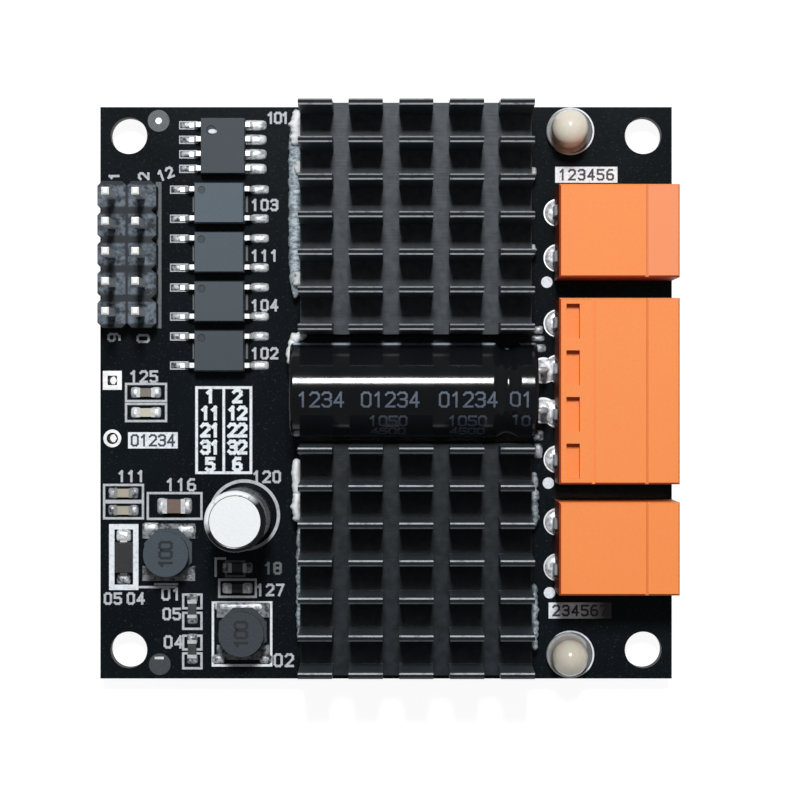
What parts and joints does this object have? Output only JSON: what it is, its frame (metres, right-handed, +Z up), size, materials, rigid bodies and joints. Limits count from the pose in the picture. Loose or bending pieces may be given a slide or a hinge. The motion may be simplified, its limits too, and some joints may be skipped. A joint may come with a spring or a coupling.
{
  "type": "dc motor driver module",
  "caption": "Square black circuit board with pin-fin heatsinks, a lying electrolytic capacitor, orange plug headers and a two-row pin header for driving a DC motor.",
  "frame": {"origin": "centre of the mounting holes' square, on the board's underside", "axes": "+Z up out of the component side, +X towards the plug headers, +Y along their edge towards the driver chip"},
  "size_m": [0.05, 0.05, 0.0142],
  "materials": {
    "adhesive": "matt white silicone",
    "board": "semi-gloss black solder mask",
    "bung": "matt rubber",
    "chip_capacitor": "satin, tinned ends",
    "chip_lamp": "satin",
    "chip_resistor": "satin, tinned ends",
    "contact": "tinned",
    "ferrite": "matt ferrite",
    "frame_lead": "tinned",
    "header_strip": "satin black",
    "heatsink": "black anodised",
    "lens": "milky gloss",
    "moulding": "matt moulding",
    "shroud": "satin orange",
    "sleeved_can": "under a glossy black shrunk sleeve, bare satin top",
    "transistor": "matt moulding",
    "winding": "enamelled copper",
    "wire_lead": "tinned"
  },
  "bodies": {
    "root": {"bulk_capacitor_bung": "bung", "bulk_capacitor_can": "sleeved_can", "bulk_capacitor_leads": "wire_lead", "ceramic_capacitor_1": "chip_capacitor", "ceramic_capacitor_2": "chip_capacitor", "ceramic_capacitor_3": "chip_capacitor", "circuit_board": "board", "control_header_pins": "contact", "control_header_strip": "header_strip", "diode_body": "moulding", "diode_leads": "frame_lead", "driver_chip_body": "moulding", "driver_chip_leads": "frame_lead", "heatsink_lower": "heatsink", "heatsink_upper": "heatsink", "indicator_leads_lower": "wire_lead", "indicator_leads_upper": "wire_lead", "indicator_lens_lower": "lens", "indicator_lens_upper": "lens", "inductor_core_left": "ferrite", "inductor_core_right": "ferrite", "inductor_winding_left": "winding", "inductor_winding_right": "winding", "motor_socket_lower_pins": "contact", "motor_socket_lower_shroud": "shroud", "motor_socket_upper_pins": "contact", "motor_socket_upper_shroud": "shroud", "optocoupler_1_body": "moulding", "optocoupler_1_leads": "frame_lead", "optocoupler_2_body": "moulding", "optocoupler_2_leads": "frame_lead", "optocoupler_3_body": "moulding", "optocoupler_3_leads": "frame_lead", "optocoupler_4_body": "moulding", "optocoupler_4_leads": "frame_lead", "power_socket_pins": "contact", "power_socket_shroud": "shroud", "power_transistor_1": "transistor", "power_transistor_2": "transistor", "power_transistor_3": "transistor", "power_transistor_4": "transistor", "power_transistor_5": "transistor", "power_transistor_6": "transistor", "power_transistor_7": "transistor", "power_transistor_8": "transistor", "resistor_1": "chip_resistor", "resistor_2": "chip_resistor", "resistor_3": "chip_resistor", "resistor_4": "chip_resistor", "resistor_5": "chip_resistor", "small_capacitor_bung": "bung", "small_capacitor_can": "sleeved_can", "small_capacitor_leads": "wire_lead", "state_lamp": "chip_lamp", "thermal_adhesive_lower": "adhesive", "thermal_adhesive_upper": "adhesive"}
  },
  "joints": []
}
